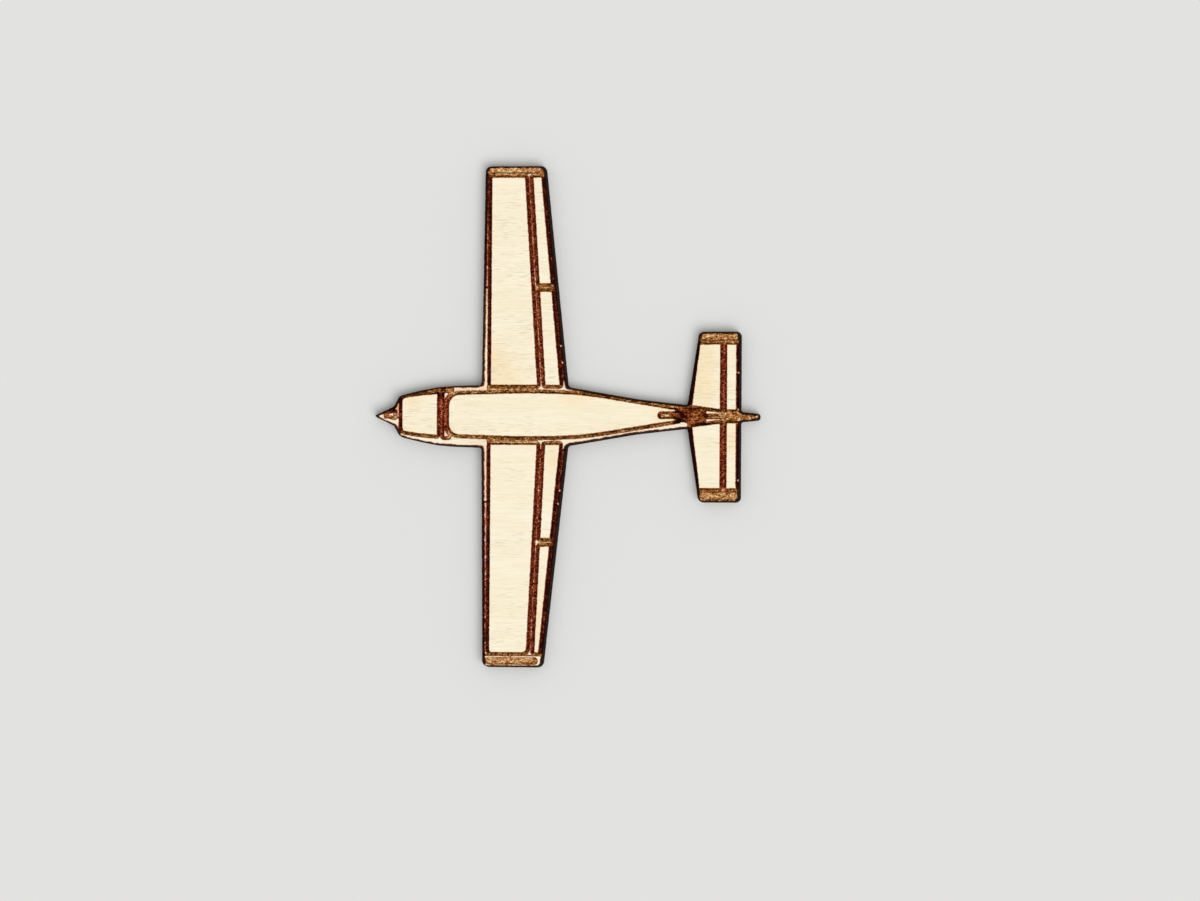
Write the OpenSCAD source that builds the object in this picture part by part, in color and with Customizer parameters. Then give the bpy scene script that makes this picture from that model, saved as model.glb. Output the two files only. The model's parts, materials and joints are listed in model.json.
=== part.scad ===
// Flat plywood aeroplane: a low-wing light aircraft in plan, laser cut from three-ply sheet.
// Its panel lines are engraved right through the face veneer, down to the glue line under it,
// so the face stands as separate panels and thin rims on a three-layer backing.
// Stations are measured aft from the nose tip. +X is aft, +Y starboard, +Z out of the engraved face.

/* [Sheet] */
// Thickness of one outer veneer
veneer_t = 0.35; // [0.25:0.05:0.6]
// Thickness of the cross-grained core
core_t = 1.2; // [0.8:0.1:2.4]
// Thickness of one line of glue
glue_t = 0.05; // [0.03:0.01:0.1]
// How far each layer of the cut edge steps in from the one below it
kerf_step = 0.085; // [0.02:0.005:0.09]

/* [Fuselage] */
// Overall length, spinner to tail stub
length = 58; // [56:0.5:62]
// Length of the spinner
spinner_length = 2.85; // [2.7:0.05:3.1]
// Half width where the spinner ends
flare_half_w = 1.55; // [1.4:0.05:1.7]
// Length over which the nose flares from spinner to cowling
flare_length = 0.85; // [0.7:0.05:1]
// Half width at the cowling's front corner
cowl_half_w = 3.15; // [3:0.05:3.5]
// Length of the cowling, back to the firewall
cowl_length = 5.55; // [5:0.05:6]
// Half width at the firewall
firewall_half_w = 4.5; // [4.2:0.05:4.7]
// Half width of the cabin at the wing's leading edge
cabin_half_w = 4.72; // [4.5:0.02:5.1]
// Half width of the cabin at the wing's trailing edge
cabin_back_half_w = 4.42; // [4.2:0.02:4.7]
// Half width where the tail boom slims down
boom_half_w = 2.64; // [2.5:0.02:2.9]
// Length of the slim part of the boom, ahead of the tailplane
boom_length = 7.5; // [7:0.1:8.5]
// Half width at the tailplane
tail_half_w = 1.78; // [1.66:0.02:2]
// Length of the stub behind the tailplane
stub_length = 2.86; // [2.6:0.02:3.2]
// Half width of the stub, at its middle
stub_half_w = 0.65; // [0.6:0.01:0.72]

/* [Wing] */
// Span, tip to tip
span = 75; // [70:0.5:80]
// Station of the leading edge at the root
wing_root_le = 16.1; // [15.7:0.05:16.9]
// Chord at the root
wing_root_chord = 13.04; // [12:0.02:14]
// How far aft of the root the tip's leading edge lies
wing_sweep = 0.35; // [0:0.05:0.6]
// Chord at the tip
wing_tip_chord = 9.15; // [8.5:0.05:9.7]
// Radius of the wing tip's corners
wing_tip_r = 1; // [0.6:0.1:1.2]
// Radius where the wing meets the fuselage
root_fillet = 0.5; // [0.4:0.05:0.9]

/* [Tailplane] */
// Span of the tailplane
tail_span = 25.5; // [24:0.1:28]
// Chord at the root
tail_root_chord = 8.05; // [7.8:0.05:8.4]
// Chord at the tip
tail_tip_chord = 6.34; // [6.1:0.02:6.8]
// Radius of its tip corners
tail_tip_r = 0.8; // [0.5:0.05:0.9]

/* [Engraving] */
// Width of one engraved line
line_w = 0.52; // [0.48:0.01:0.54]
// Distance between the two lines drawn at a joint of the wing
line_pair = 0.7; // [0.68:0.01:0.74]
// Distance between the two lines drawn at the elevators' hinge
tail_line_pair = 0.46; // [0.4:0.01:0.5]
// Chord of the flap at its root end
flap_root_chord = 3.07; // [2.8:0.01:3.3]
// Chord of the ailerons at the wing tip
aileron_tip_chord = 1.8; // [1.65:0.05:1.95]
// How far forward of that the hinge line is drawn at the starboard tip, and how far aft at the port tip
hinge_skew = 0.3; // [0.2:0.02:0.32]
// Chord of the elevators
elevator_chord = 2.17; // [2:0.01:2.3]
// Distance from the centreline to the break between flap and aileron
flap_span = 19; // [16:0.1:22]
// How far the drawing lies aft of the cut outline
drawing_shift_x = 0.2; // [0.14:0.01:0.22]
// How far the drawing lies to starboard of the cut outline
drawing_shift_y = 0.22; // [0.18:0.01:0.24]
// How far the tail's lines are drawn to port of the fuselage's
tail_offset_y = 0.15; // [0.1:0.01:0.16]
// Length burnt away where two rims would meet
burn_gap = 0.2; // [0.14:0.02:0.3]

/* [Hidden] */

starboard = 1;
port = -1;
half_line = line_w / 2;
half_pair = line_pair / 2;
half_gap = burn_gap / 2;

// Heights of the layers, from the back up
back_glue_z = veneer_t;
core_z = back_glue_z + glue_t;
face_glue_z = core_z + core_t;
face_z = face_glue_z + glue_t;

// Largest angle that one chord of a rounded corner spans
arc_step = 12;

// The layers' colours
bare_wood = [0.98, 0.93, 0.82];
core_wood = [0.72, 0.54, 0.36];
scorched_wood = [0.45, 0.24, 0.13];
charred_glue = [0.27, 0.08, 0.05];

// ---- Outlines -------------------------------------------------------------

function unit(v) = v / norm(v);
function turn_between(u, v) = sign(u[0] * v[1] - u[1] * v[0]);
function swing(v, a) = [v[0] * cos(a) - v[1] * sin(a), v[0] * sin(a) + v[1] * cos(a)];
function before(list, i) = list[(i + len(list) - 1) % len(list)];
function after(list, i) = list[(i + 1) % len(list)];

// The corner at b between a and c, rounded to radius r
function corner(a, b, c, r) =
    let (u = unit(a - b), v = unit(c - b))
    let (half = acos(u * v) / 2)
    let (centre = b + unit(u + v) * r / sin(half))
    let (start = b + u * r / tan(half))
    let (sweep = -turn_between(u, v) * (180 - 2 * half))
    let (steps = max(2, ceil(abs(sweep) / arc_step)))
    r <= 0 ? [b] : [for (k = [0:steps]) centre + swing(start - centre, sweep * k / steps)];

// +1 where the outline turns left at point i, -1 where it turns right
function bend(points, i) =
    turn_between(points[i] - before(points, i), after(points, i) - points[i]);

// Point i of an outline, moved out by d along both of its edges
function moved_out(points, i, d) =
    let (e1 = unit(points[i] - before(points, i)), e2 = unit(after(points, i) - points[i]))
    let (n1 = [e1[1], -e1[0]], n2 = [e2[1], -e2[0]])
    points[i] + (n1 + n2) * d / (1 + n1 * n2);

// A shape is a list of [x, y, corner radius], anticlockwise. Its outline is grown by d all round.
function outline(shape, d = 0) =
    let (flat = [for (p = shape) [p[0], p[1]]])
    let (grown = [for (i = [0:len(flat) - 1]) moved_out(flat, i, d)])
    [for (i = [0:len(grown) - 1])
        each corner(before(grown, i), grown[i], after(grown, i), shape[i][2] + d * bend(flat, i))];

// A closed shape from its starboard half, listed nose to tail
function both_sides(half) = concat(
    [for (p = half) [p[0], -p[1], p[2]]],
    [for (i = [len(half) - 1:-1:0]) half[i]]
);

// A starboard shape on either side of the centreline
function on_side(shape, side) =
    side == starboard ? shape : [for (i = [len(shape) - 1:-1:0]) [shape[i][0], -shape[i][1], shape[i][2]]];

// Station on the straight line through two [station, distance from the centreline] points
function station_at(y, root, tip) = root[0] + (tip[0] - root[0]) * (y - root[1]) / (tip[1] - root[1]);

// ---- Cut outline ----------------------------------------------------------

cowl_station = spinner_length + flare_length;
firewall_station = cowl_station + cowl_length;
wing_root_te = wing_root_le + wing_root_chord;
wing_tip_le = wing_root_le + wing_sweep;
wing_tip_te = wing_tip_le + wing_tip_chord;
tail_te = length - stub_length;
tail_root_le = tail_te - tail_root_chord;
tail_tip_le = tail_te - tail_tip_chord;
stub_taper = 0.14;

nose_half_w = 0.2;
nose_r = 0.19;
flare_r = 0.6;
cowl_corner_r = 0.9;
cheek_r = 25;
boom_bend_r = 30;
tail_fillet = 0.4;
stub_fillet = 0.3;
stub_end_r = 0.45;

plane = both_sides([
    [0, nose_half_w, nose_r],
    [spinner_length, flare_half_w, flare_r],
    [cowl_station, cowl_half_w, cowl_corner_r],
    [firewall_station, firewall_half_w, cheek_r],
    [wing_root_le, cabin_half_w, root_fillet],
    [wing_tip_le, span / 2, wing_tip_r],
    [wing_tip_te, span / 2, wing_tip_r],
    [wing_root_te, cabin_back_half_w, root_fillet],
    [tail_root_le - boom_length, boom_half_w, boom_bend_r],
    [tail_root_le, tail_half_w, tail_fillet],
    [tail_tip_le, tail_span / 2, tail_tip_r],
    [tail_te, tail_span / 2, tail_tip_r],
    [tail_te, stub_half_w + stub_taper, stub_fillet],
    [length, stub_half_w - stub_taper, stub_end_r]
]);

// ---- Drawing --------------------------------------------------------------
// Each shape is the middle of the line engraved around it. A margin is the distance from the
// cut outline to that line.

// Radii of the drawing's sharp, tight and easy corners
sharp_r = 0.1;
tight_r = 0.25;
easy_r = 0.35;

spinner_tip_margin = 0.5;
spinner_line_half_w = 0.58;
spinner_line_r = 0.3;
spinner_back = spinner_length + 0.12;
spinner = [
    [spinner_tip_margin, 0, spinner_line_r],
    [spinner_back, -spinner_line_half_w, sharp_r],
    [spinner_back, spinner_line_half_w, sharp_r]
];

cowl_front = cowl_station + 0.08;
cowl_back = firewall_station + 0.34;
cowl_front_line_w = cowl_half_w - 0.49;
cowl_back_line_w = firewall_half_w - 1.14;
cowl_bulge = 0.08;
cowl_bulge_r = 20;
cowl_front_r = 0.86;
cowl_back_r = 0.41;
cowl = both_sides([
    [cowl_front, cowl_front_line_w, cowl_front_r],
    [(cowl_front + cowl_back) / 2, (cowl_front_line_w + cowl_back_line_w) / 2 + cowl_bulge, cowl_bulge_r],
    [cowl_back, cowl_back_line_w, cowl_back_r]
]);

cabin_front = firewall_station + 1.6;
cabin_front_line_w = cabin_half_w - 1.54;
cabin_front_r = 1.86;
cabin_side_r = 100;
cabin_back_r = 50;
cabin = both_sides([
    [cabin_front, cabin_front_line_w, cabin_front_r],
    [wing_root_le + 5.9, cabin_half_w - 1.21, cabin_side_r],
    [wing_root_te + 1.61, cabin_back_half_w - 1.02, cabin_back_r],
    [tail_root_le - 1.29, tail_half_w - 0.83, 0]
]);

windscreen_front = cowl_back + 0.55;
windscreen_back = cabin_front + 0.4;
windscreen_half_w = cabin_front_line_w + 0.34;
windscreen = both_sides([
    [windscreen_front, windscreen_half_w, spinner_line_r],
    [windscreen_back, windscreen_half_w, spinner_line_r]
]);
// How far the windscreen's rear frame stands ahead of the cabin's own line
windscreen_frame = 0.26;

fin_front = tail_root_le - 4.23;
fin_back = tail_root_le + 2.51;
fin_half_w = 0.28;
fin_fairing = both_sides([
    [tail_root_le - 2.1, 0.3, 0],
    [tail_root_le + 0.1, tail_half_w - 0.83, 0],
    [tail_root_le + 2.4, 0.6, 0]
]);
rudder_front = tail_root_le + 0.9;
rudder_half_w = 0.12;

wing_root_y = cabin_half_w - 0.53;
wing_tip_y = span / 2 - 1.78;
wing_le = wing_root_le + 1.06;
te_root = [wing_root_te - 1, wing_root_y];
te_tip = [wing_tip_te - 0.48, wing_tip_y];
hinge_root = [te_root[0] - flap_root_chord, wing_root_y];

function hinge_tip(side) = [te_tip[0] - aileron_tip_chord - side * hinge_skew, wing_tip_y];
function hinge_at(y, side) = station_at(y, hinge_root, hinge_tip(side));
function te_at(y) = station_at(y, te_root, te_tip);

// The wing panels' corners, the port one's rounder at the tip
wing_front_root_r = 0.2;
wing_front_tip_r = 0.45;
port_front_tip_r = 0.7;
wing_back_tip_r = 0.6;
port_back_tip_r = 0.95;
function wing(side) = [
    [wing_le, wing_root_y, wing_front_root_r],
    [hinge_at(wing_root_y, side) - half_pair, wing_root_y, easy_r],
    [hinge_at(wing_tip_y, side) - half_pair, wing_tip_y, side == starboard ? wing_back_tip_r : port_back_tip_r],
    [wing_le, wing_tip_y, side == starboard ? wing_front_tip_r : port_front_tip_r]
];

// A flap or aileron that runs between two distances from the centreline
aileron_tip_r = 0.3;
function control(y0, y1, side) = [
    [hinge_at(y0, side) + half_pair, y0, easy_r],
    [te_at(y0), y0, easy_r],
    [te_at(y1), y1, aileron_tip_r],
    [hinge_at(y1, side) + half_pair, y1, aileron_tip_r]
];
function flap(side) = control(wing_root_y, flap_span - half_pair, side);
function aileron(side) = control(flap_span + half_pair, wing_tip_y, side);

// The slot engraved along a tip: where its inner line runs, how wide it is and where it ends
function tip_slot(front, back, y, width) = [
    [front, y, tight_r],
    [back, y, tight_r],
    [back, y + width, tight_r],
    [front, y + width, tight_r]
];
wing_slot = tip_slot(wing_tip_le + 0.6, wing_tip_te - 1.1, wing_tip_y + 0.74, 0.52);

tail_tip_y = tail_span / 2 - 1.79;
elevator_te = tail_te - 0.52;
tail_hinge = elevator_te - elevator_chord;
half_tail_pair = tail_line_pair / 2;
tailplane = [
    [tail_root_le + 0.38, tail_half_w - 0.4, sharp_r],
    [tail_hinge - half_tail_pair, 0.78, sharp_r],
    [tail_hinge - half_tail_pair, tail_tip_y, tight_r],
    [tail_tip_le - 0.12, tail_tip_y, tight_r]
];
elevator = [
    [tail_hinge + half_tail_pair, 0.74, sharp_r],
    [elevator_te, 0.74, sharp_r],
    [elevator_te, tail_tip_y, tight_r],
    [tail_hinge + half_tail_pair, tail_tip_y, tight_r]
];
tail_slot = tip_slot(tail_tip_le + 0.55, tail_te - 0.74, tail_tip_y + 0.66, 0.5);

// ---- Building blocks ------------------------------------------------------

// A flat piece of one layer, with station 0 at the nose end of the frame
module sheet(z, thickness) {
    translate([-length / 2, 0, z])
        linear_extrude(thickness)
            children();
}

module cut_outline(layer) {
    polygon(outline(plane, -kerf_step * layer));
}

// Places the drawing where it was engraved
module drawn(offset_y = 0) {
    translate([drawing_shift_x, drawing_shift_y + offset_y])
        children();
}

// A slot with round ends along the centreline
module centre_slot(front, back, half_w) {
    polygon(outline(both_sides([[front, half_w, half_w * 0.96], [back, half_w, half_w * 0.96]])));
}

module grown_all(shapes, side, d) {
    for (shape = shapes)
        polygon(outline(on_side(shape, side), d));
}

// Everything that the lines, and the panels inside them, take out of the face
module drawn_areas() {
    drawn() {
        for (side = [starboard, port])
            grown_all([wing(side), flap(side), aileron(side), wing_slot], side, half_line);
        grown_all([spinner, cowl, windscreen, cabin, fin_fairing], starboard, half_line);
        centre_slot(fin_front - half_line, fin_back, fin_half_w + half_line);
    }
    drawn(-tail_offset_y) {
        for (side = [starboard, port])
            grown_all([tailplane, elevator, tail_slot], side, half_line);
        centre_slot(rudder_front, length, rudder_half_w + half_line);
    }
}

// The wood left standing inside a drawn shape
module panel(shape, offset_y = 0) {
    sheet(face_z, veneer_t)
        drawn(offset_y)
            polygon(outline(shape, -half_line));
}

// A small slot-shaped island of wood on the centreline
module island(front, back, half_w, offset_y = 0) {
    sheet(face_z, veneer_t)
        drawn(offset_y)
            centre_slot(front, back, half_w);
}

// The wood left between the lines, inside windows that follow the drawing
module web(windows) {
    sheet(face_z, veneer_t)
        intersection() {
            difference() {
                cut_outline(2);
                drawn_areas();
            }
            drawn()
                for (window = windows)
                    polygon(window);
        }
}

// A window between two stations and two distances from the centreline
function box(x0, x1, y0, y1, side) =
    [[x0, side * y0], [x1, side * y0], [x1, side * y1], [x0, side * y1]];

// A window from a to b aft of a swept line, between two distances from the centreline
function along(root, tip, a, b, y0, y1, side) =
    let (x0 = station_at(y0, root, tip), x1 = station_at(y1, root, tip))
    [[x0 + a, side * y0], [x0 + b, side * y0], [x1 + b, side * y1], [x1 + a, side * y1]];

// ---- Layers ---------------------------------------------------------------

module back_veneer() {
    color(bare_wood)
        sheet(0, veneer_t)
            cut_outline(0);
}

module back_glue_line() {
    color(charred_glue)
        sheet(back_glue_z, glue_t)
            cut_outline(1);
}

module core_veneer() {
    color(core_wood)
        sheet(core_z, core_t)
            cut_outline(1);
}

module face_glue_line() {
    color(charred_glue)
        sheet(face_glue_z, glue_t)
            cut_outline(2);
}

// ---- Face panels ----------------------------------------------------------

module spinner_panel() {
    color(bare_wood)
        panel(spinner);
}

module cowl_panel() {
    color(bare_wood)
        panel(cowl);
}

// Two slivers of glass area, pinched apart by the curved rear frame
module windscreen_panel() {
    color(bare_wood)
        sheet(face_z, veneer_t)
            drawn()
                difference() {
                    polygon(outline(windscreen, -half_line));
                    polygon(outline(cabin, half_line + windscreen_frame));
                }
}

// The cabin roof and tail boom, forked around the front of the fin
module cabin_panel() {
    color(bare_wood)
        sheet(face_z, veneer_t)
            drawn()
                difference() {
                    polygon(outline(cabin, -half_line));
                    polygon(outline(fin_fairing, half_line));
                    centre_slot(fin_front - half_line, fin_back, fin_half_w + half_line);
                }
}

// Half width of the specks of wood left inside the fin's and rudder's slots
speck_half_w = 0.13;

module fin_panel() {
    color(bare_wood)
        island(fin_front + 0.79, fin_front + 1.49, speck_half_w);
}

module rudder_panel() {
    color(bare_wood)
        island(length - 0.85, length - 0.5, speck_half_w, -tail_offset_y);
}

module wing_panel(side) {
    color(bare_wood)
        panel(on_side(wing(side), side));
}

module flap_panel(side) {
    color(bare_wood)
        panel(on_side(flap(side), side));
}

module aileron_panel(side) {
    color(bare_wood)
        panel(on_side(aileron(side), side));
}

module tailplane_panel(side) {
    color(bare_wood)
        panel(on_side(tailplane, side), -tail_offset_y);
}

module elevator_panel(side) {
    color(bare_wood)
        panel(on_side(elevator, side), -tail_offset_y);
}

// ---- Rims and ridges between the lines ------------------------------------

// Distances from the centreline at which the wing's rims are burnt through
root_break = wing_root_y + 1;
starboard_rim_break = 19;
port_rim_break = 13;
function tip_break(side) = wing_tip_y + half_line + (side == starboard ? 0.02 : -half_gap);
tail_tip_break = tail_tip_y + half_line + 0.02;
trailing_rim_end = 28;
// Station at which the ridge beside the cabin is burnt through
ridge_break = hinge_root[0] - 0.65;
beyond = 2;
// Length burnt away between the branch of the hinge ridge and the trailing edge's line
branch_gap = 0.15;

module spinner_sliver() {
    color(scorched_wood)
        web([box(spinner_back, cowl_front, -0.4, cowl_half_w, starboard)]);
}

module starboard_cabin_rim() {
    color(bare_wood)
        web([
            box(cabin_front + 1, wing_le - half_line, 3, root_break, starboard),
            box(wing_root_le - beyond, wing_le, root_break, starboard_rim_break - half_gap, starboard)
        ]);
}

module port_nose_rim() {
    color(bare_wood)
        web([
            box(-1, 1.3, 0, 0.6, port),
            box(-1, wing_le - half_line, 0.6, root_break, port),
            box(wing_root_le - beyond, wing_le, root_break, port_rim_break - half_gap, port)
        ]);
}

module leading_rim(side, inner_break) {
    color(scorched_wood)
        web([box(wing_root_le - beyond, wing_le, inner_break + half_gap, tip_break(side) - half_gap, side)]);
}

module wing_tip_rim(side) {
    color(scorched_wood)
        web([box(wing_root_le - beyond, wing_root_te, tip_break(side) + half_gap, span, side)]);
}

module trailing_rim(side) {
    color(scorched_wood)
        web([along(te_root, te_tip, 0.05, beyond, root_break + half_gap, trailing_rim_end, side)]);
}

// The ridge between the wing's rear line and the control surfaces' front line,
// with its branch between flap and aileron
module hinge_ridge(side) {
    color(scorched_wood)
        web([
            along(hinge_root, hinge_tip(side), -half_pair, half_pair, root_break + half_gap, tip_break(side), side),
            box(hinge_at(flap_span, side), te_at(flap_span) - branch_gap,
                flap_span - half_pair, flap_span + half_pair, side)
        ]);
}

module root_ridge(side) {
    color(scorched_wood)
        web([box(wing_le, ridge_break - half_gap, 3, wing_root_y, side)]);
}

module boom_rim(side, back) {
    color(bare_wood)
        web([box(ridge_break + half_gap, back, 1, root_break - half_gap, side)]);
}

module fin_root_slivers() {
    color(bare_wood)
        web([box(fin_back + half_line, tail_hinge + half_tail_pair, -1.2, 1.2, starboard)]);
}

module tail_tip_rim(side) {
    color(scorched_wood)
        web([box(tail_root_le, tail_te, tail_tip_break - side * tail_offset_y, tail_span, side)]);
}

// ---- Part -----------------------------------------------------------------

back_veneer();
back_glue_line();
core_veneer();
face_glue_line();
spinner_panel();
cowl_panel();
windscreen_panel();
cabin_panel();
fin_panel();
rudder_panel();
wing_panel(starboard);  // starboard_wing_panel
wing_panel(port);  // port_wing_panel
flap_panel(starboard);  // starboard_flap_panel
flap_panel(port);  // port_flap_panel
aileron_panel(starboard);  // starboard_aileron_panel
aileron_panel(port);  // port_aileron_panel
tailplane_panel(starboard);  // starboard_tailplane_panel
tailplane_panel(port);  // port_tailplane_panel
elevator_panel(starboard);  // starboard_elevator_panel
elevator_panel(port);  // port_elevator_panel
spinner_sliver();
starboard_cabin_rim();
port_nose_rim();
leading_rim(starboard, starboard_rim_break);  // starboard_leading_rim
leading_rim(port, port_rim_break);  // port_leading_rim
wing_tip_rim(starboard);  // starboard_wing_tip_rim
wing_tip_rim(port);  // port_wing_tip_rim
trailing_rim(starboard);  // starboard_trailing_rim
trailing_rim(port);  // port_trailing_rim
hinge_ridge(starboard);  // starboard_hinge_ridge
hinge_ridge(port);  // port_hinge_ridge
root_ridge(starboard);  // starboard_root_ridge
root_ridge(port);  // port_root_ridge
boom_rim(starboard, wing_root_te + 0.66);  // starboard_boom_rim
boom_rim(port, tail_root_le);  // port_boom_rim
fin_root_slivers();
tail_tip_rim(starboard);  // starboard_tail_tip_rim
tail_tip_rim(port);  // port_tail_tip_rim
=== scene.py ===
import json
import math

import bpy
import numpy as np
from mathutils import Matrix, Vector, geometry, kdtree


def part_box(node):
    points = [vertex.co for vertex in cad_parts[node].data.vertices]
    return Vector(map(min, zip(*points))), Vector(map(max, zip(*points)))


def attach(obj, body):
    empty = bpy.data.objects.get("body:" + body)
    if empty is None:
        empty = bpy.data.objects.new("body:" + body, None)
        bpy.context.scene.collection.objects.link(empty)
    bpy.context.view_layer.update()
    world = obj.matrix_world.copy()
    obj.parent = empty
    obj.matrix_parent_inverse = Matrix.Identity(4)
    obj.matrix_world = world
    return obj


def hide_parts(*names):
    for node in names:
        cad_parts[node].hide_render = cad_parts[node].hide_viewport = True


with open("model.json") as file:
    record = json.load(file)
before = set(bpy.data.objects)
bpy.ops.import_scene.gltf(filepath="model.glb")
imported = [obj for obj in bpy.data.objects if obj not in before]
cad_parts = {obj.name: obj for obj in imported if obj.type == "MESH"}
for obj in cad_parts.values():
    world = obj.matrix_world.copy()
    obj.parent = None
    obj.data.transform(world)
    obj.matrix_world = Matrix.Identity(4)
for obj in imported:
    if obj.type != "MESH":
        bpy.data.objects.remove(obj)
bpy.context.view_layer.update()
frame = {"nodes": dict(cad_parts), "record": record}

MM = 0.001
SLOTS = {part["node"]: part["material_slot"] for part in frame["record"]["subparts"]}
FACE_NODES = [name for name in SLOTS if name.endswith(("_panel", "_rim", "_ridge", "_sliver", "_slivers"))]
PANELS = [name for name in FACE_NODES if name.endswith("_panel")]

# The small islands of the face, which the engraving's char doesn't follow
ISLANDS = ("spinner_panel", "windscreen_panel", "fin_panel", "rudder_panel")

# Distance between the laser's passes over the engraving, which run along the fuselage
SCAN_PITCH = 0.1

# How far the passes and pulses move the edge of a panel, the edge of a rim or ridge, and the wall of the cut
PANEL_JAG = 0.03
RIM_JAG = 0.022
CUT_RIPPLE = 0.035

# An edge moves by at most this share of the way to the middle of thin wood
THIN_SHARE = 0.4

# Height of the crust at the bottom of the engraving, and how far a fully burnt rim sank
CRUST = 0.07
SUNK = 0.28

# Steps between mesh points: along the cut, along a panel's edge and along a rim's edge, then over the
# engraving and the rims, the middle of a panel, the back, and the glue that the face hides
CUT_STEP = 0.13
PANEL_STEP = 0.09
RIM_STEP = 0.06
FINE_GRID = 0.1
PANEL_GRID = 0.5
BACK_GRID = 0.3
HIDDEN_GRID = 0.9

# Width of the fine mesh along a panel's edge, where the brown fades
PANEL_BORDER = 0.3

# How the wall of a layer is hollowed: shares of its height, and of its recess
HOLLOW = ((0, 0), (0.2, 0.7), (0.5, 1), (0.8, 0.7), (1, 0))

# The edge of a face piece: how far in each ring lies, and its share of the height
FACE_EDGE = ((-0.004, 0), (0.0, 0.45), (0.004, 0.85), (0.018, 1))

CELLS = 256
LATTICE = np.random.RandomState(11).rand(CELLS, CELLS)
NO_POINTS = np.zeros((0, 2))


# ---- Small tools ------------------------------------------------------------

def ease(low, high, value):
    """0 at low, 1 at high, and smooth between them."""
    t = np.clip((np.asarray(value, float) - low) / (high - low), 0, 1)
    return t * t * (3 - 2 * t)


def steps(value, *stops):
    """A value read off straight lines through (at, value) stops."""
    return np.interp(value, [at for at, _ in stops], [level for _, level in stops])


def mottle(x, y, cell_x, cell_y, seed):
    """Smooth random values from 0 to 1, in cells of that size in millimetres."""
    u = x / cell_x + 31.7 * seed
    v = y / cell_y + 12.9 * seed
    i = np.floor(u).astype(int)
    j = np.floor(v).astype(int)
    du = ease(0, 1, u - i)
    dv = ease(0, 1, v - j)
    rows = [
        LATTICE[i % CELLS, k % CELLS] * (1 - du) + LATTICE[(i + 1) % CELLS, k % CELLS] * du
        for k in (j, j + 1)
    ]
    return rows[0] * (1 - dv) + rows[1] * dv


def box_mm(name):
    """Lowest and highest corner of a CAD node, in millimetres."""
    return [np.array(corner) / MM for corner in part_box(name)]


# ---- Outlines ---------------------------------------------------------------

def outlines(name):
    """The closed outlines of a CAD node's upper face, with the wood on their left."""
    mesh = frame["nodes"][name].data
    mesh.calc_loop_triangles()
    points = np.array([v.co for v in mesh.vertices]) / MM
    top = points[:, 2].max()
    ids = {}
    spots = []
    links = set()
    for triangle in mesh.loop_triangles:
        tips = points[list(triangle.vertices)]
        if tips[:, 2].min() < top - 0.001:
            continue
        here = []
        for tip in tips:
            key = tuple(np.round(tip[:2], 4))
            if key not in ids:
                ids[key] = len(spots)
                spots.append(tip[:2])
            here.append(ids[key])
        links.update([(here[0], here[1]), (here[1], here[2]), (here[2], here[0])])
    after = {a: b for a, b in links if (b, a) not in links}
    loops = []
    while after:
        start, at = after.popitem()
        loop = [start]
        while at != start:
            loop.append(at)
            at = after.pop(at)
        loops.append(np.array([spots[k] for k in loop]))
    return sorted(loops, key=lambda loop: tuple(loop.min(0)))


def evenly(loop, step):
    """A closed outline with points at even steps."""
    closed = np.vstack([loop, loop[:1]])
    lengths = np.linalg.norm(np.diff(closed, axis=0), axis=1)
    along = np.concatenate([[0], np.cumsum(lengths)])
    count = max(8, int(round(along[-1] / step)))
    marks = np.arange(count) * along[-1] / count
    return np.stack([np.interp(marks, along, closed[:, k]) for k in (0, 1)], axis=1)


def outward(loop):
    """Unit vectors at an outline's points that lead away from the wood."""
    run = np.roll(loop, -1, axis=0) - np.roll(loop, 1, axis=0)
    run /= np.maximum(np.linalg.norm(run, axis=1), 1e-9)[:, None]
    return np.stack([run[:, 1], -run[:, 0]], axis=1)


def room(loops, way):
    """How far each outline's points can move before they meet another edge. way is 1 for out, -1 for in."""
    nothing_near = 9.0
    points = np.vstack([evenly(loop, 0.03) for loop in loops])
    found = []
    for loop in loops:
        gap = points[None] - loop[:, None]
        far = np.linalg.norm(gap, axis=2)
        ahead = way * (gap * outward(loop)[:, None]).sum(2)
        found.append(np.where(ahead > 0.3 * far, far, nothing_near).min(1) / 2)
    return found


class Edges:
    """Outlines that distances are measured to."""

    def __init__(self, loops, step=0.08):
        even = [evenly(loop, step) for loop in loops]
        self.points = np.vstack(even)
        self.away = np.vstack([outward(loop) for loop in even])
        self.tree = kdtree.KDTree(len(self.points))
        for k, (x, y) in enumerate(self.points):
            self.tree.insert((x, y, 0), k)
        self.tree.balance()

    def measure(self, points):
        """How far each point is outside the wood, less than 0 inside, and the nearest outward vector."""
        nearest = np.array([self.tree.find((x, y, 0))[1] for x, y in points[:, :2]])
        gap = points[:, :2] - self.points[nearest]
        away = self.away[nearest]
        across = (gap * away).sum(1)
        far = np.linalg.norm(gap, axis=1)
        return np.where(np.abs(across) > far * 0.3, np.sign(across) * far, across), away


def seeds(low, high, step):
    """A grid of points over a rectangle, each nudged off its place."""
    xs, ys = np.meshgrid(np.arange(low[0], high[0], step), np.arange(low[1], high[1], step))
    xs = xs.ravel()
    ys = ys.ravel()
    nudge = step * 0.35
    return np.stack([
        xs + nudge * (mottle(xs, ys, step * 1.3, step * 1.3, 3) - 0.5),
        ys + nudge * (mottle(xs, ys, step * 1.3, step * 1.3, 4) - 0.5)
    ], axis=1)


# ---- Meshes -----------------------------------------------------------------

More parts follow.
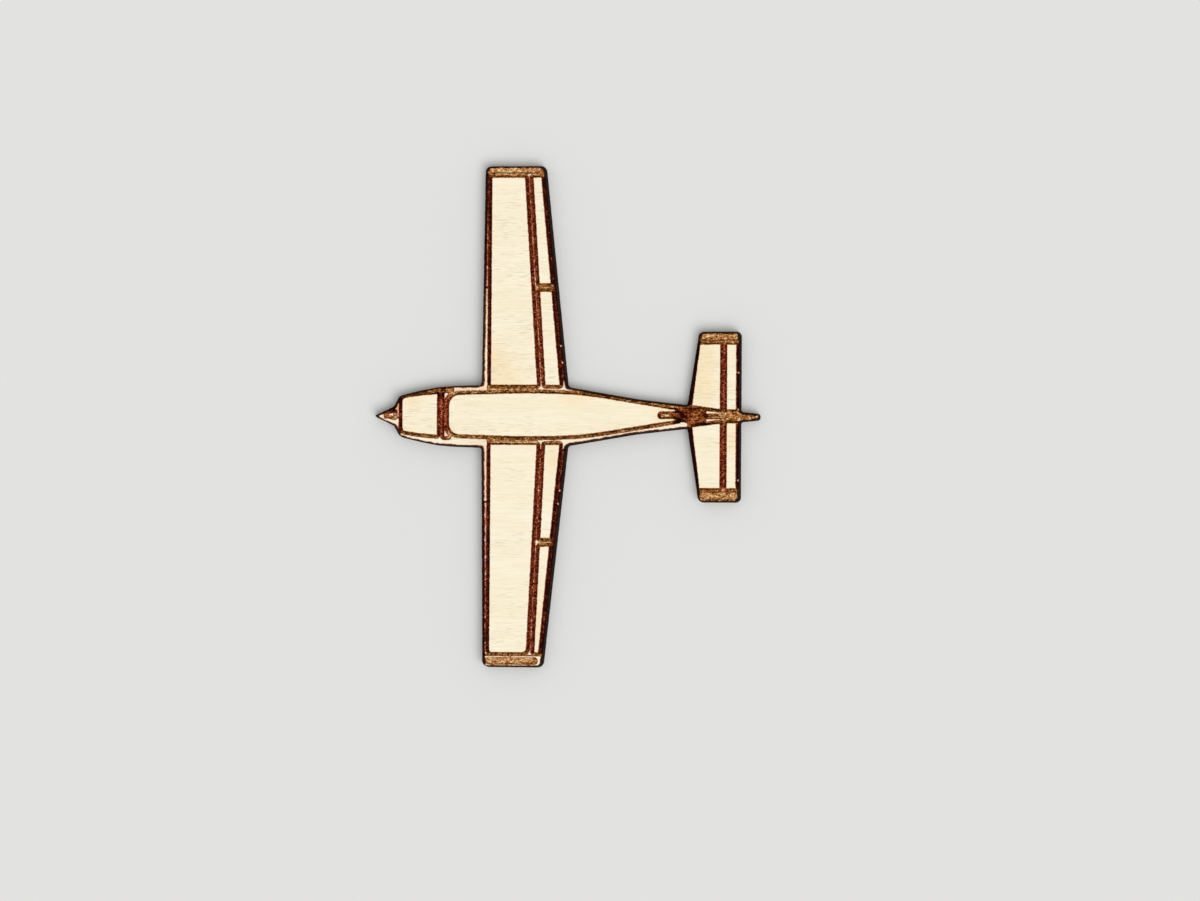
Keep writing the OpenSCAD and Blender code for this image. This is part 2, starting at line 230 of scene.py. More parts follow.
def fill(loops, inner):
    """Triangles over the wood inside the outlines, through the inner points."""
    points = np.vstack(loops + [inner])
    links = []
    first = 0
    for loop in loops:
        links += [(first + k, first + (k + 1) % len(loop)) for k in range(len(loop))]
        first += len(loop)
    found = geometry.delaunay_2d_cdt([Vector(p) for p in points], links, [], 1, 1e-7)
    spots = np.array([tuple(p) for p in found[0]])
    faces = np.array(found[2])
    if len(loops) > 1:
        outside, _ = Edges(loops, 0.05).measure(spots[faces].mean(1))
        faces = faces[outside < 0]
    a, b, c = (spots[faces[:, k]] for k in range(3))
    turn = (b[:, 0] - a[:, 0]) * (c[:, 1] - a[:, 1]) - (b[:, 1] - a[:, 1]) * (c[:, 0] - a[:, 0])
    faces[turn < 0] = faces[turn < 0][:, ::-1]
    return spots, faces


def solid(name, loops, levels, floor, crest, inner=NO_POINTS, under=NO_POINTS, give=None):
    """A closed piece. levels lists how far in each ring of its wall lies, and its share of the height from
    floor to crest. crest gives the height of the upper face at any points. inner and under are extra points
    of the upper and the lower face. give is the share of each inset that each point takes, less in thin
    wood."""
    points = []
    faces = []
    count = 0
    give = give or [np.ones(len(loop)) for loop in loops]
    rings = [
        [loop - outward(loop) * (inset * share)[:, None] for loop, share in zip(loops, give)]
        for inset, _ in levels
    ]
    lap = sum(len(loop) for loop in loops)

    def height(spots, share):
        return floor + (crest(spots) - floor) * share

    for level, (_, share) in enumerate(levels):
        for loop in rings[level]:
            points.append(np.column_stack([loop, height(loop, share)]))
            if level:
                k = np.arange(len(loop))
                k2 = (k + 1) % len(loop)
                low = count - lap
                faces += np.stack([low + k, low + k2, count + k2, count + k], axis=1).tolist()
            count += len(loop)
    for level, extra, turn_over in ((-1, inner, False), (0, under, True)):
        spots, triangles = fill(rings[level], extra)
        points.append(np.column_stack([spots, height(spots, levels[level][1])]))
        triangles = triangles + count
        faces += (triangles[:, ::-1] if turn_over else triangles).tolist()
        count += len(spots)

    mesh = bpy.data.meshes.new(name)
    mesh.from_pydata((np.vstack(points) * MM).tolist(), [], faces)
    piece = bpy.data.objects.new(name, mesh)
    bpy.context.scene.collection.objects.link(piece)
    weld = piece.modifiers.new("weld", "WELD")
    weld.merge_threshold = 0.0005 * MM
    bpy.context.view_layer.update()
    piece.data = bpy.data.meshes.new_from_object(piece.evaluated_get(bpy.context.evaluated_depsgraph_get()))
    piece.modifiers.clear()
    piece.data.name = name
    piece.data.shade_smooth()
    piece.data.set_sharp_from_angle(angle=math.radians(48))
    return piece


def corners(piece):
    """A piece's points, in millimetres."""
    flat = np.zeros(len(piece.data.vertices) * 3, np.float32)
    piece.data.vertices.foreach_get("co", flat)
    return flat.reshape(-1, 3).astype(float) / MM


def paint(piece, **values):
    """Stores a value from 0 to 1 at each point of a piece, for its material to read."""
    for key, value in values.items():
        layer = piece.data.attributes.new(key, "FLOAT", "POINT")
        full = np.broadcast_to(np.clip(value, 0, 1), (len(piece.data.vertices),))
        layer.data.foreach_set("value", np.ascontiguousarray(full, np.float32))


# ---- What the laser did -----------------------------------------------------
# bare is 1 on clean wood and 0 on black char. gold is 1 where the char is golden and 0 where it is maroon.

back_top = box_mm("back_veneer")[1][2]
core_top = box_mm("core_veneer")[1][2]
bed_top = box_mm("face_glue_line")[1][2]
face_top = box_mm("cabin_panel")[1][2]

# How far the cut leans in between the back and the engraved face
LEAN = box_mm("back_veneer")[1][1] - box_mm("face_glue_line")[1][1]

cut_loops = outlines("back_veneer")
cut = Edges(cut_loops)
panel_edges = Edges([loop for name in PANELS if name not in ISLANDS for loop in outlines(name)])
face_edges = Edges([loop for name in FACE_NODES for loop in outlines(name)])

cabin_low, cabin_high = box_mm("cabin_panel")
cowl_low, cowl_high = box_mm("cowl_panel")
fin_front = cabin_high[0] - 0.1
fin_back = box_mm("fin_panel")[1][0]
slivers_front = box_mm("fin_root_slivers")[0][0]
wing_front = box_mm("starboard_wing_panel")[0][0]
port_root = box_mm("port_wing_panel")[1][1]
hinge_front = box_mm("port_wing_panel")[1][0]
wing_tips = (box_mm("port_wing_panel")[0][1], box_mm("starboard_wing_panel")[1][1])
tail_hinge = box_mm("starboard_elevator_panel")[0][0]
tail_tips = (box_mm("port_tailplane_panel")[0][1], box_mm("starboard_tailplane_panel")[1][1])


def streaks(points, seed):
    """Long patches along the laser's passes, from 0 to 1."""
    x, y = points[:, 0], points[:, 1]
    return 0.55 * mottle(x, y, 1.1, 0.2, seed) + 0.45 * mottle(x, y, 0.4, 0.15, seed + 1)


def jagged(loops, amount, seed):
    """Engraved edges: each pass of the laser starts or stops a little early or late, less so in thin wood."""
    worked = []
    for loop, inside, outside in zip(loops, room(loops, -1), room(loops, 1)):
        x, y = loop[:, 0], loop[:, 1]
        passes = mottle(y / SCAN_PITCH, x / 3, 1, 1, seed) - 0.5
        ripple = mottle(x, y, 0.35, 0.35, seed + 1) - 0.5
        across = outward(loop)
        push = 2 * amount * (passes * np.abs(across[:, 0]) + 0.8 * ripple)
        push = np.clip(push, -THIN_SHARE * inside, THIN_SHARE * outside)
        worked.append(loop + across * push[:, None])
    return worked


def cut_char_and_shadow(points):
    """0 on the black margin along the cut, 1 past it. The margin is char; on the edges that face the nose,
    and a little on the starboard edges, it is widened by a painted contact shadow."""
    x, y = points[:, 0], points[:, 1]
    out, away = cut.measure(points)
    # Painted contact shadow: the margin widens on the edges that face the nose and a little on the starboard
    # edges
    shadowed_front = ease(0.3, 0.8, -away[:, 0])
    margin = 0.13 + 0.02 * away[:, 1] + 0.17 * shadowed_front + 0.1 * (mottle(x, y, 0.5, 0.5, 21) - 0.5)
    return ease(LEAN + margin, LEAN + 1.8 * margin, -out)


# Where the char flaked off: along which piece, and how far outboard of the piece's inner end
FLAKES = {
    "starboard_elevator_panel": (0, 5.5),
    "port_elevator_panel": (-0.5, 8.5),
    "starboard_trailing_rim": (2.5, 5),
    "port_trailing_rim": (6, 8),
    "port_hinge_ridge": (6,)
}

# How far behind its elevator such a flake lies
BEHIND_ELEVATOR = 0.3


def middle_at(name, y):
    """How far back the middle line of a rim or ridge runs at y."""
    spots = np.vstack([evenly(loop, RIM_STEP) for loop in outlines(name)])
    across = spots[np.abs(spots[:, 1] - y) < RIM_STEP, 0]
    return (across.min() + across.max()) / 2


def flake_places():
    """The middles of the flakes: at the tail stub's end, behind the elevators, and on rims and ridges."""
    rudder_low, rudder_high = box_mm("rudder_panel")
    places = [(rudder_high[0], (rudder_low[1] + rudder_high[1]) / 2)]
    for name, marks in FLAKES.items():
        low, high = box_mm(name)
        inner = min(low[1], high[1], key=abs)
        for mark in marks:
            y = inner + np.sign(inner) * mark
            x = high[0] + BEHIND_ELEVATOR if name.endswith("_panel") else middle_at(name, y)
            places.append((x, y))
    return places


flakes = flake_places()


def flaked(bare, x, y):
    """Pale wood that shows through the char at each flake."""
    for at_x, at_y in flakes:
        bare = np.maximum(bare, 1.1 * ease(0.2, 0.06, np.hypot(x - at_x, y - at_y)))
    return bare


# How bare the char at the bottom of the engraving is, by millimetres from a panel's edge. The dark next to
# the edge is char and painted shade of the groove's corner
MAROON_ACROSS = ((0, 0.34), (0.12, 0.27), (0.3, 0.3), (0.5, 0.46), (0.65, 0.46), (0.85, 0.26))
GOLDEN_ACROSS = ((0, 0.3), (0.15, 0.26), (0.3, 0.4), (0.5, 0.56), (0.8, 0.62))

# From the port wing panel to the one pass that only browned the wood
BROWN_PASS = 0.36


def bed_paint(points):
    """The char at the bottom of the engraving, with painted shade next to the panels' edges and in the narrow
    strokes beside the cut.
    """
    x, y = points[:, 0], points[:, 1]
    out, away = panel_edges.measure(points)
    lengthwise = ease(0.35, 0.85, np.abs(away[:, 1]))
    past_wing = ease(0, 0.35, np.maximum(y - wing_tips[1], wing_tips[0] - y))
    past_tail = ease(0, 0.3, np.maximum(y - tail_tips[1], tail_tips[0] - y)) * (x > fin_front)
    by_fin = ease(1.5, 1.1, np.abs(y)) * ease(fin_front - 1, fin_front, x)
    nose = ease(cowl_low[0] - 0.6, cowl_low[0] - 1, x) * ease(0.8, 0.2, y)
    gold = np.maximum.reduce([lengthwise, past_wing, past_tail, by_fin, nose])

    maroon = steps(out, *MAROON_ACROSS)
    bare = maroon + (steps(out, *GOLDEN_ACROSS) - maroon) * gold
    bare += (streaks(points, 5) - 0.5) * (0.06 + 0.4 * gold)
    bare += (mottle(x, y, 0.28, 0.22, 15) - 0.5) * 0.3

    # The brown pass runs along the port wing's root
    brown = ease(0.16, 0.04, np.abs(y - port_root - BROWN_PASS))
    bare += 0.3 * brown * (x > wing_front) * (x < hinge_front)

    # The narrow strokes beside the cut are darkened as painted shade of their close walls. The beam ran
    # hotter by the fin and along the starboard side of the cowl
    from_cut, _ = cut.measure(points)
    bare -= 0.14 * ease(-1.8, -1.2, from_cut) * (1 - gold)
    scars = ease(0.4, 0.6, mottle(x, y, 1.2, 0.5, 9)) * ease(fin_front - 0.5, fin_front + 0.5, x)
    scars *= ease(tail_hinge - 1, tail_hinge - 3, x)
    hot = ease(fin_back, fin_back + 0.6, x) * ease(slivers_front + 0.3, slivers_front - 0.3, x)
    bare -= (0.08 + 0.15 * scars + 0.16 * hot) * by_fin
    gold = gold * (1 - (0.4 * scars + 0.5 * hot) * by_fin)
    bare -= 0.16 * ease(cowl_high[1] - 1, cowl_high[1], y) * ease(cabin_low[0], cabin_low[0] - 1, x)
    # Char and painted contact shadow along the cut darken the bed's edge
    return flaked(bare * (0.04 + 0.96 * cut_char_and_shadow(points)), x, y), gold


# How each rim and ridge is toasted: how golden, and how bare from its end by the nose or the centreline (0)
# to its other end (1)
TOAST = {
    "spinner_sliver": (0.3, [(0, 0.85), (1, 0.75)]),
    "starboard_cabin_rim": (0.6, [(0, 0.88), (0.2, 0.97), (0.5, 0.98), (1, 0.92)]),
    "port_nose_rim": (0.3, [(0, 0.98), (0.5, 0.98), (0.8, 0.95), (1, 0.9)]),
    "starboard_leading_rim": (0, [(0, 0.8), (0.25, 0.66), (0.6, 0.54), (1, 0.42)]),
    "port_leading_rim": (0, [(0, 0.86), (0.35, 0.76), (0.55, 0.55), (0.75, 0.72), (1, 0.8)]),
    "starboard_wing_tip_rim": (1, [(0, 0.5), (1, 0.52)]),
    "port_wing_tip_rim": (0.7, [(0, 0.98), (0.25, 0.96), (0.45, 0.84), (0.6, 0.95), (1, 0.98)]),
    "starboard_trailing_rim": (0, [(0, 0.4), (0.5, 0.34), (1, 0.4)]),
    "port_trailing_rim": (0, [(0, 0.36), (1, 0.34)]),
    "starboard_hinge_ridge": (0.2, [(0, 0.8), (0.5, 0.74), (0.93, 0.74), (1, 0.9)]),
    "port_hinge_ridge": (0.1, [(0, 0.66), (0.5, 0.6), (0.93, 0.66), (1, 0.9)]),
    "starboard_root_ridge": (1, [(0, 0.7), (0.6, 0.7), (1, 0.74)]),
    "port_root_ridge": (1, [(0, 0.58), (0.4, 0.58), (1, 0.62)]),
    "starboard_boom_rim": (0.4, [(0, 0.97), (1, 0.93)]),
    "port_boom_rim": (0.4, [(0, 0.96), (1, 0.95)]),
    "fin_root_slivers": (0.6, [(0, 0.97), (1, 0.93)]),
    "starboard_tail_tip_rim": (1, [(0, 0.6), (1, 0.64)]),
    "port_tail_tip_rim": (0.9, [(0, 0.7), (1, 0.68)])
}

# Warm patches of the veneer: shares of their panel's length and width from its low corner, and their half
# sizes in millimetres
WARM = {
    "starboard_wing_panel": [(0.25, 0.03, 3.5, 2.2), (0.1, 0.12, 2, 2.5)],
    "starboard_tailplane_panel": [(0.35, 0.3, 2.2, 3.6), (0.4, 0.8, 1.5, 3)],
    "port_flap_panel": [(0.7, 0.85, 1, 2.5)],
    "port_aileron_panel": [(0.3, 0.3, 1, 4)],
    "port_elevator_panel": [(0.5, 0.75, 1, 2.2)],
    "cowl_panel": [(0.3, 0.8, 1.2, 1)],
    "cabin_panel": [(0.55, 0.87, 2.6, 0.9), (0.95, 0.5, 2.5, 1.5)]
}


def rim_toast(name, points):
    """How bare a rim or ridge was left, and how golden it turned."""
    low, high = box_mm(name)
    x, y = points[:, 0], points[:, 1]
    gold, stops = TOAST[name]
    if high[1] - low[1] > high[0] - low[0]:
        near, far = sorted((low[1], high[1]), key=abs)
        share = (y - near) / (far - near)
    else:
        share = (x - low[0]) / (high[0] - low[0])
    bare = steps(share, *stops)

    # The browner the wood, the more it varies
    unsure = np.clip((0.96 - bare) * 1.2, 0, 0.3)
    bare = bare + unsure * (mottle(x, y, 0.35, 0.3, 13) + 0.5 * mottle(x, y, 1.2, 1.2, 14) - 0.75)
    if name.endswith("hinge_ridge"):
        # The ridge branches off between flap and aileron, pale to port and golden to starboard. Outboard of
        # the branch it stayed pale for 2 mm
        side = name.split("_")[0]
        ends = sorted(
            corner[1] for flap in ("_flap_panel", "_aileron_panel") for corner in box_mm(side + flap)
        )
        branch_y = (ends[1] + ends[2]) / 2
        branch_bare, outboard_bare = {"port": (0.95, 0.8), "starboard": (0.66, 0.95)}[side]
        outboard = np.abs(y) - abs(branch_y)
        bare = np.maximum(bare, outboard_bare * ease(0.1, 0.4, outboard) * ease(2.4, 1.6, outboard))
        branch = ease(0.4, 0.25, np.abs(outboard))
        bare = bare + (branch_bare - bare) * branch
        gold = gold + (1 - gold) * branch
    return bare, gold


def warmth(name, points):
    """How warm the veneer is: 0 away from its warm patches, up to about 1 in them."""
    low, high = box_mm(name)
    total = np.zeros(len(points))
    for at_x, at_y, size_x, size_y in WARM.get(name, []):
        u = (points[:, 0] - low[0] - at_x * (high[0] - low[0])) / size_x
        v = (points[:, 1] - low[1] - at_y * (high[1] - low[1])) / size_y
        total += np.exp(-(u * u + v * v))
    return total


# ---- Wood -------------------------------------------------------------------

def linear(code):
    """An sRGB hex colour as linear red, green, blue and alpha."""
    parts = [int(code[k:k + 2], 16) / 255 for k in (0, 2, 4)]
    return [c / 12.92 if c <= 0.04045 else ((c + 0.055) / 1.055) ** 2.4 for c in parts] + [1]


def node(tree, kind, inputs=(), stops=(), take=0, **settings):
    """Adds a shader node with its settings, colour stops and links, and gives one of its outputs."""
    made = tree.nodes.new(kind)
    for key, value in settings.items():
        setattr(made, key, value)
    for k, (at, code) in enumerate(stops):
        ramp = made.color_ramp.elements
        stop = ramp[k] if k < 2 else ramp.new(at)
        stop.position = at
        stop.color = linear(code)
    for key, value in dict(inputs).items():
        if isinstance(value, bpy.types.NodeSocket):
            tree.links.new(value, made.inputs[key])
        else:
            made.inputs[key].default_value = value
    return made.outputs[take] if made.outputs else None


# Char on engraved wood, from black through to nearly bare
MAROON_CHAR = [
    (0, "090302"), (0.2, "3E0D03"), (0.4, "7C2B0B"), (0.6, "AE5F3C"), (0.8, "D8A48E"), (1, "F5E2D0")
]
GOLDEN_CHAR = [
    (0, "0F0603"), (0.2, "4C2408"), (0.4, "885019"), (0.6, "BA783E"), (0.8, "DFAF7A"), (1, "F6E2BC")
]

# The patterns of worked birch: length along the grain and width across it in millimetres, detail, and where
# in the noise each one starts
PATTERNS = {
    # Slow bands of early and late wood
    "bands": (26, 2.6, 2, 3),
    # Fibres are 0.03 mm wide, too fine to show, so they are drawn five times as coarse
    "fibres": (5, 0.15, 3, 11),
    # Pores about 1.5 mm long, in drifts
    "pores": (1.5, 0.14, 1, 23),
    "drifts": (9, 4, 1, 31),
    # Char: streaks along the laser's passes, broken up by crumbs. Real crumbs are about 0.05 mm, too fine to
    # show, so they are drawn four times as coarse
    "streak": (0.6, 0.15, 2, 41),
    "crumb": (0.22, 0.2, 2, 53)
}


def laser_worked_birch(name, grain_turn=0.0, gloss=0.3, roughness=0.62, char_bump=0.03):
    """Birch veneer, sanded and left bare: pale cream with short grey pores along the grain and a dull, silky
    face. The laser browns it to gold or maroon and then chars it to a matt, crumbly black."""
    material = bpy.data.materials.new(name)
    material.use_nodes = True
    tree = material.node_tree
    tree.nodes.clear()
    place = node(tree, "ShaderNodeTexCoord", take="Object")
    turned = node(tree, "ShaderNodeMapping", {
        "Vector": place, "Rotation": (0, 0, grain_turn), "Scale": (1 / MM,) * 3
    })
    noise = {}
    for pattern, (long, wide, detail, start) in PATTERNS.items():
        stretched = node(tree, "ShaderNodeMapping", {
            "Vector": turned, "Location": (start,) * 3, "Scale": (1 / long, 1 / wide, 1 / wide)
        })
        noise[pattern] = node(tree, "ShaderNodeTexNoise", {
            "Vector": stretched, "Scale": 1.0, "Detail": detail
        })

    bare, gold, warm = (
        node(tree, "ShaderNodeAttribute", take="Fac", attribute_name=key)
        for key in ("bare", "gold", "warm")
    )

    # Clean veneer
    pores = node(tree, "ShaderNodeMapRange", {"Value": noise["pores"], 1: 0.54, 2: 0.74})
    drifts = node(tree, "ShaderNodeMapRange", {"Value": noise["drifts"], 1: 0.36, 2: 0.6, 3: 0.25, 4: 1})
    pore_tint = node(tree, "ShaderNodeMath", {0: pores, 1: drifts}, operation="MULTIPLY")
    fibre_tint = node(tree, "ShaderNodeMapRange", {"Value": noise["fibres"], 1: 0.3, 2: 0.7, 3: 0, 4: 0.7})
    warm_tint = node(tree, "ShaderNodeMath", {0: warm, 1: 0.75}, operation="MULTIPLY")
    veneer = node(tree, "ShaderNodeValToRGB", {0: noise["bands"]}, stops=[(0.3, "FFF8E2"), (0.7, "FDF1D5")])
    for tint, code in ((warm_tint, "FDE1B0"), (fibre_tint, "F3E4C2"), (pore_tint, "DDD2B4")):
        veneer = node(tree, "ShaderNodeMix", {
            0: tint, 6: veneer, 7: linear(code)
        }, take=2, data_type="RGBA")

    # Char, stirred by the crumbs wherever the wood isn't clean, and by the passes where it is golden
    loose = node(tree, "ShaderNodeMapRange", {"Value": bare, 1: 0.97, 2: 0.75})
    passes = node(tree, "ShaderNodeMix", {0: gold, 2: 0.5, 3: noise["streak"]})
    rough_mix = node(tree, "ShaderNodeMath", {0: passes, 1: noise["crumb"]}, operation="ADD")
    stir = node(tree, "ShaderNodeMath", {0: rough_mix, 1: 1.35, 2: -1.35}, operation="MULTIPLY_ADD")
    # Black char is dense, so it varies less than browned wood
    dense = node(tree, "ShaderNodeMapRange", {"Value": bare, 1: 0, 2: 0.3, 3: 0.4, 4: 1})
    give = node(tree, "ShaderNodeMath", {0: loose, 1: dense}, operation="MULTIPLY")
    stirred = node(tree, "ShaderNodeMath", {0: stir, 1: give, 2: bare}, operation="MULTIPLY_ADD")
    maroon = node(tree, "ShaderNodeValToRGB", {0: stirred}, stops=MAROON_CHAR)
    golden = node(tree, "ShaderNodeValToRGB", {0: stirred}, stops=GOLDEN_CHAR)
    char = node(tree, "ShaderNodeMix", {0: gold, 6: maroon, 7: golden}, take=2, data_type="RGBA")
    clean = node(tree, "ShaderNodeMapRange", {"Value": bare, 1: 0.84, 2: 0.98})
    colour = node(tree, "ShaderNodeMix", {0: clean, 6: char, 7: veneer}, take=2, data_type="RGBA")

    # Relief: the pores are fine grooves, and the char is crusty
    fibre_relief = node(tree, "ShaderNodeMath", {0: noise["fibres"], 1: pores}, operation="SUBTRACT")
    crust = node(tree, "ShaderNodeMath", {0: rough_mix, 1: loose}, operation="MULTIPLY")
    fine = node(tree, "ShaderNodeBump", {"Strength": 0.6, "Distance": 0.006 * MM, "Height": fibre_relief})
    coarse = node(tree, "ShaderNodeBump", {
        "Strength": 0.8, "Distance": char_bump * MM, "Height": crust, "Normal": fine
    })
    shader = node(tree, "ShaderNodeBsdfPrincipled", {
        "Base Color": colour,
        "Roughness": node(tree, "ShaderNodeMapRange", {"Value": loose, 3: roughness, 4: 0.92}),
        "IOR": 1.5,
        "Specular IOR Level": gloss,
        "Normal": coarse
    })
    node(tree, "ShaderNodeOutputMaterial", {"Surface": shader})
    return material


MATERIALS = {
    # Sanded face veneer: silky, with browned edges
    "bare_wood": laser_worked_birch("sanded_birch_veneer"),
    # Thin ridges that the beam only browned: dry and matt
    "scorched_wood": laser_worked_birch("toasted_birch_veneer", gloss=0.1, roughness=0.72),
    # Core with its grain across the fuselage, seen only at the charred cut
    "core_wood": laser_worked_birch(
        "cross_grained_birch_core", math.pi / 2, gloss=0.1, roughness=0.75, char_bump=0.05
    ),
    # Burnt resin and fibre: matt and crusty, nearly no gloss
    "charred_glue": laser_worked_birch(
        "charred_glue_and_fibre", gloss=0.06, roughness=0.8, char_bump=0.06
    )
}


def dress(piece, name):
    """Puts a finished piece in the place of its CAD node."""
    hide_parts(name)
    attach(piece, "root")
    piece.data.materials.clear()
    piece.data.materials.append(MATERIALS[SLOTS[name]])


# ---- Plies ------------------------------------------------------------------

def cut_wall(step):
    """The cut outline, rippled by the laser's pulses."""
    loops = []
    for loop in cut_loops:
        even = evenly(loop, step)
        x, y = even[:, 0], even[:, 1]
        ripple = 0.6 * mottle(x, y, 0.22, 0.22, 2) + 0.4 * mottle(x, y, 0.5, 0.5, 3)
        loops.append(even - outward(even) * (CUT_RIPPLE * ripple)[:, None])
    return loops


def ply(name, low, high, recess, crest=None, inner=NO_POINTS, under=NO_POINTS):
    """One layer of the sheet, with its share of the leaning, rippled cut. Its middle burnt in by recess."""
    levels = []
    for share, hollow in HOLLOW:
        z = low + (high - low) * share
        levels.append((LEAN * z / face_top + recess * hollow, share))
    top = crest or (lambda spots: np.full(len(spots), high))
    return solid(name + "_cut", cut_wall(CUT_STEP), levels, low, top, inner, under)


def wall_bare(points, light):
    """How bare the burnt wall of the cut is, with the marks of the pulses and the flame."""
    x, y, z = points.T
    pulses = mottle(x, y, 0.2, 0.2, 27) - 0.5
    flames = mottle(x + y, z, 1.1, 0.3, 28) - 0.5
    return light + 0.12 * pulses + 0.08 * flames


def build_back():
    """The back veneer. Smoke browned its lower face along the cut."""
    low, high = box_mm("back_veneer")
    grid = seeds(low, high, BACK_GRID)
    out, _ = cut.measure(grid)
    piece = ply("back_veneer", 0.0, back_top, 0.02, under=grid[out < -0.2])
    points = corners(piece)
    out, _ = cut.measure(points)
    x, y, z = points.T
    smoke = ease(0.0, 1.5, -out + 0.5 * (mottle(x, y, 1.6, 1.2, 33) - 0.5))
    on_wall = (z > 0.02) | (out > -0.06)
    bare = np.where(on_wall, wall_bare(points, 0.03), 0.66 + 0.34 * smoke)
    paint(piece, bare=bare, gold=0.75, warm=0.2)
    dress(piece, "back_veneer")


def build_core():
    """The thick core, a little paler in the middle of its burnt wall."""
    piece = ply("core_veneer", back_top, core_top, 0.035)
    points = corners(piece)
    z = points[:, 2]
    middle = ease(back_top, back_top + 0.3, z) * ease(core_top, core_top - 0.3, z)
    paint(piece, bare=wall_bare(points, -0.03) + 0.05 * middle, gold=0.6, warm=0.3)
    dress(piece, "core_veneer")


def build_glue():
    """The glue between back and core, a black line in the wall of the cut."""
    low, high = box_mm("back_glue_line")
    piece = ply("back_glue_line", low[2], high[2], 0.012)
    paint(piece, bare=0.04, gold=0.3, warm=0)
    dress(piece, "back_glue_line")


def build_bed():
    """The bottom of the engraving: a crust of char on the glue line."""
    low, high = box_mm("face_glue_line")
    fine = seeds(low, high, FINE_GRID)
    out, _ = face_edges.measure(fine)
    inside, _ = cut.measure(fine)
    fine = fine[(out > -0.02) & (inside < -LEAN - 0.08)]
    coarse = seeds(low, high, HIDDEN_GRID)
    out, _ = face_edges.measure(coarse)
    coarse = coarse[out < -0.5]

    def crust(spots):
        x, y = spots[:, 0], spots[:, 1]
        bumps = 0.6 * mottle(x, y, 0.5, 0.2, 6) + 0.4 * mottle(x, y, 0.2, 0.12, 7)
        return bed_top + CRUST * (bumps - 0.55)

    piece = ply("face_glue_line", core_top, bed_top, 0.0, crust, inner=np.vstack([fine, coarse]))
    bare, gold = bed_paint(corners(piece))
    paint(piece, bare=bare, gold=gold, warm=0)
    dress(piece, "face_glue_line")


# ---- Face -------------------------------------------------------------------

def build_face(name):
    """A panel, rim or ridge of the face veneer, with a jagged and browned edge."""
    panel = name in PANELS
    even = [evenly(loop, PANEL_STEP if panel else RIM_STEP) for loop in outlines(name)]
    loops = jagged(even, PANEL_JAG if panel else RIM_JAG, 8)
    own = Edges(loops, 0.05)
    low, high = box_mm(name)

    fine = seeds(low, high, FINE_GRID)
    out, _ = own.measure(fine)
    inner = fine[(out < -0.045) & (out > -PANEL_BORDER if panel else True)]
    if panel:
        coarse = seeds(low, high, PANEL_GRID)
        out, _ = own.measure(coarse)
        inner = np.vstack([inner, coarse[out < -PANEL_BORDER]])

    def toast(spots):
        if name == "windscreen_panel":
            return np.full(len(spots), 0.9), 0.2
        return (np.ones(len(spots)), 0.5) if panel else rim_toast(name, spots)

    def crest(spots):
        x, y = spots[:, 0], spots[:, 1]
        bare, _ = toast(spots)
        burnt = np.clip(1 - bare, 0, 1)
        out, _ = own.measure(spots)
        rounding = 0.035 * ease(0.07, 0, -out)
        sunk = SUNK * burnt * (0.5 + mottle(x, y, 0.3, 0.2, 17))
        return face_top - 0.004 - rounding - sunk

    give = [np.clip(THIN_SHARE * gap / FACE_EDGE[-1][0], 0, 1) for gap in room(loops, -1)]
    piece = solid(name + "_wood", loops, FACE_EDGE, core_top + 0.01, crest, inner, give=give)
    points = corners(piece)
    out, away = own.measure(points)
    x, y, z = points.T
    bare, gold = toast(points)
    if panel:
        gold = ease(0.35, 0.85, np.abs(away[:, 1]))
    margin = 0.05 + 0.05 * mottle(x, y, 0.4, 0.2, 18)
    bare = bare * (0.42 + 0.58 * ease(-0.01, 1, -out / margin))
    down = ease(face_top - 0.09, face_top - 0.3, z) if panel else ease(0.0, 0.2, crest(points) - z)
    # Char and painted contact shadow along the cut darken the face's edge
    bare = flaked(bare * (1 - 0.68 * down) * (0.04 + 0.96 * cut_char_and_shadow(points)), x, y)
    paint(piece, bare=bare, gold=gold, warm=warmth(name, points))
    dress(piece, name)


# ---- Studio -----------------------------------------------------------------

FLOOR_COLOUR = "E2E2E0"


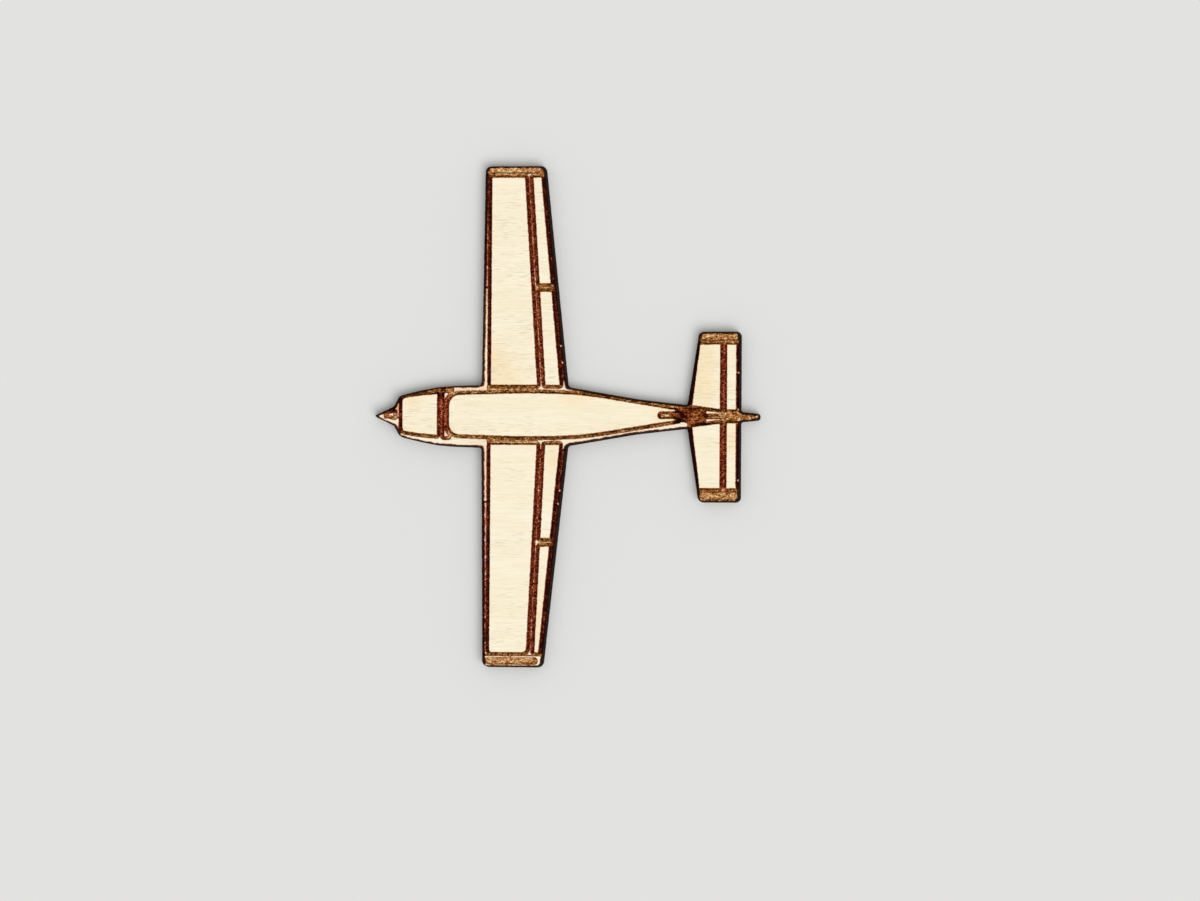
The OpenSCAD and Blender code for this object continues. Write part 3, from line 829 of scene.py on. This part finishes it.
def studio():
    """A pale board, a soft room and lamp, and the camera almost straight above."""
    scene = bpy.context.scene
    scene.view_settings.view_transform = "Standard"

    # Matt painted board, 5 m square
    half = 2.5
    mesh = bpy.data.meshes.new("floor")
    mesh.from_pydata(
        [(-half, -half, 0), (half, -half, 0), (half, half, 0), (-half, half, 0)], [], [(0, 1, 2, 3)]
    )
    floor = bpy.data.objects.new("floor", mesh)
    scene.collection.objects.link(floor)
    board = bpy.data.materials.new("pale_matt_board")
    board.use_nodes = True
    tree = board.node_tree
    tree.nodes.clear()
    face = node(tree, "ShaderNodeBsdfPrincipled", {
        "Base Color": linear(FLOOR_COLOUR), "Roughness": 0.9, "Specular IOR Level": 0.1
    })
    node(tree, "ShaderNodeOutputMaterial", {"Surface": face})
    mesh.materials.append(board)

    world = bpy.data.worlds.new("soft_room")
    scene.world = world
    world.use_nodes = True
    tree = world.node_tree
    tree.nodes.clear()
    seen = node(tree, "ShaderNodeLightPath", take="Is Camera Ray")
    room = node(tree, "ShaderNodeBackground", {"Color": (1, 1, 1, 1), "Strength": 0.58})
    wall = node(tree, "ShaderNodeBackground", {"Color": linear(FLOOR_COLOUR), "Strength": 1.0})
    mixed = node(tree, "ShaderNodeMixShader", {0: seen, 1: room, 2: wall})
    node(tree, "ShaderNodeOutputWorld", {"Surface": mixed})

    # One large soft lamp, off the tail and port side
    lamp = bpy.data.lights.new("softbox", "SUN")
    lamp.energy = 1.6
    lamp.angle = math.radians(45)
    softbox = bpy.data.objects.new("softbox", lamp)
    scene.collection.objects.link(softbox)
    softbox.rotation_euler = Vector((0.45, -0.5, 1)).to_track_quat("Z", "Y").to_euler()

    # The camera leans a little towards the tail and port side, and turns the nose up by a fifth of a degree
    toward = Vector((0.142, -0.02, 0.988)).normalized()
    turn = Matrix.Rotation(math.radians(0.213), 3, toward)
    across = turn @ (Vector((1, 0, 0)) - toward * toward.x).normalized()
    up = toward.cross(across)
    view_width = 178.9 * MM
    distance = 950 * MM
    aside = 5.09 * MM
    middle = Vector((0, 0, face_top * MM)) + across * aside - up * aside
    lens = bpy.data.cameras.new("camera")
    lens.sensor_width = 36
    lens.lens = lens.sensor_width * distance / view_width
    lens.clip_start = 0.01
    camera = bpy.data.objects.new("camera", lens)
    scene.collection.objects.link(camera)
    camera.location = middle + toward * distance
    camera.rotation_euler = Matrix(np.array([across, up, toward]).T.tolist()).to_euler()
    scene.camera = camera


studio()
build_back()
build_glue()
build_core()
build_bed()
for face_node in FACE_NODES:
    build_face(face_node)
